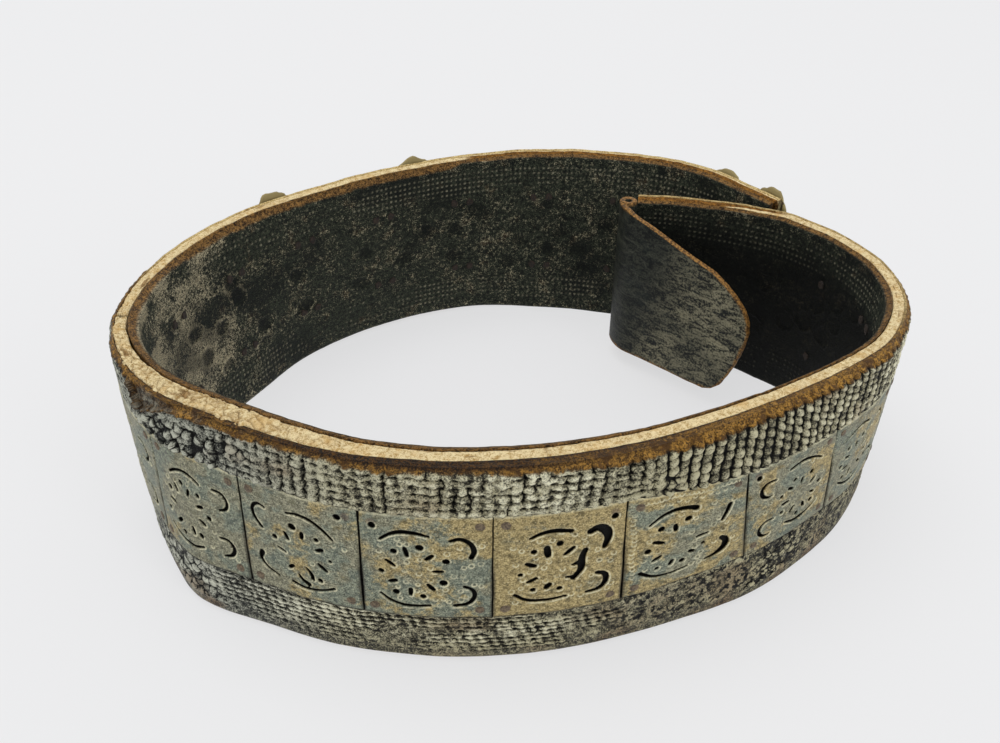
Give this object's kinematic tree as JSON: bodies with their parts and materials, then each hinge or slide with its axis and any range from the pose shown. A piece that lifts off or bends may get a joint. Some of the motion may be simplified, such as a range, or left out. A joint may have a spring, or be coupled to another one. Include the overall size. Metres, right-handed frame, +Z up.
{
  "type": "horse collar",
  "caption": "Oval neck collar of layered stitched leather with pierced square metal plates outside, a folded flap and a lapped opening.",
  "frame": {"origin": "centre of the collar's footprint, on the surface that it stands on", "axes": "+Z up along the neck's axis, +X along the oval's long axis to the wearer's side where the ends lap, -Y towards the front wall"},
  "size_m": [0.3679, 0.308, 0.102],
  "materials": {
    "embossed_leather": "worn pewter-grey leather",
    "pale_core": "raw crumbling cut edge",
    "dark_lining": "dark worn leather",
    "flap_leather": "scratched dark leather",
    "stitched_leather": "puffed rows, worn",
    "stitch_thread": "dusty thread",
    "plate_brass": "tarnished brass with grey patina",
    "rivet_metal": "dull",
    "burr_metal": "dark and rusty",
    "stud_brass": "tarnished with verdigris"
  },
  "bodies": {
    "front_band": {"core_leather_front": "pale_core", "inner_stitching_lower_front": "stitch_thread", "inner_stitching_upper_front": "stitch_thread", "lining_leather_front": "dark_lining", "outer_leather_front": "embossed_leather", "outer_stitching_lower_front": "stitched_leather", "outer_stitching_upper_front": "stitched_leather", "plate_front_1": "plate_brass", "plate_front_10": "plate_brass", "plate_front_2": "plate_brass", "plate_front_3": "plate_brass", "plate_front_4": "plate_brass", "plate_front_5": "plate_brass", "plate_front_6": "plate_brass", "plate_front_7": "plate_brass", "plate_front_8": "plate_brass", "plate_front_9": "plate_brass", "plate_rivets_front": "rivet_metal", "rivet_burrs_front": "burr_metal"},
    "back_band": {"core_leather_back": "pale_core", "edge_studs": "stud_brass", "inner_stitching_lower_back": "stitch_thread", "inner_stitching_upper_back": "stitch_thread", "lining_leather_back": "dark_lining", "outer_leather_back": "embossed_leather", "outer_stitching_lower_back": "stitched_leather", "outer_stitching_upper_back": "stitched_leather", "plate_back_1": "plate_brass", "plate_back_2": "plate_brass", "plate_back_3": "plate_brass", "plate_back_4": "plate_brass", "plate_back_5": "plate_brass", "plate_back_6": "plate_brass", "plate_back_7": "plate_brass", "plate_back_8": "plate_brass", "plate_rivets_back": "rivet_metal", "rivet_burrs_back": "burr_metal"},
    "flap_leaf": {"flap": "flap_leather"}
  },
  "joints": [
    {"name": "opening_flex", "type": "hinge", "parent": "front_band", "child": "back_band", "pos_m": [-0.18217, -0.05752, 0.051], "axis": [0, 0, 1], "range_deg": [0, 25], "stiffness_Nm_per_rad": 0.5},
    {"name": "flap_fold", "type": "hinge", "parent": "front_band", "child": "flap_leaf", "pos_m": [0.05952, 0.08736, 0.051], "axis": [0, 0, 1], "range_deg": [-125, 25], "stiffness_Nm_per_rad": 0.05}
  ]
}
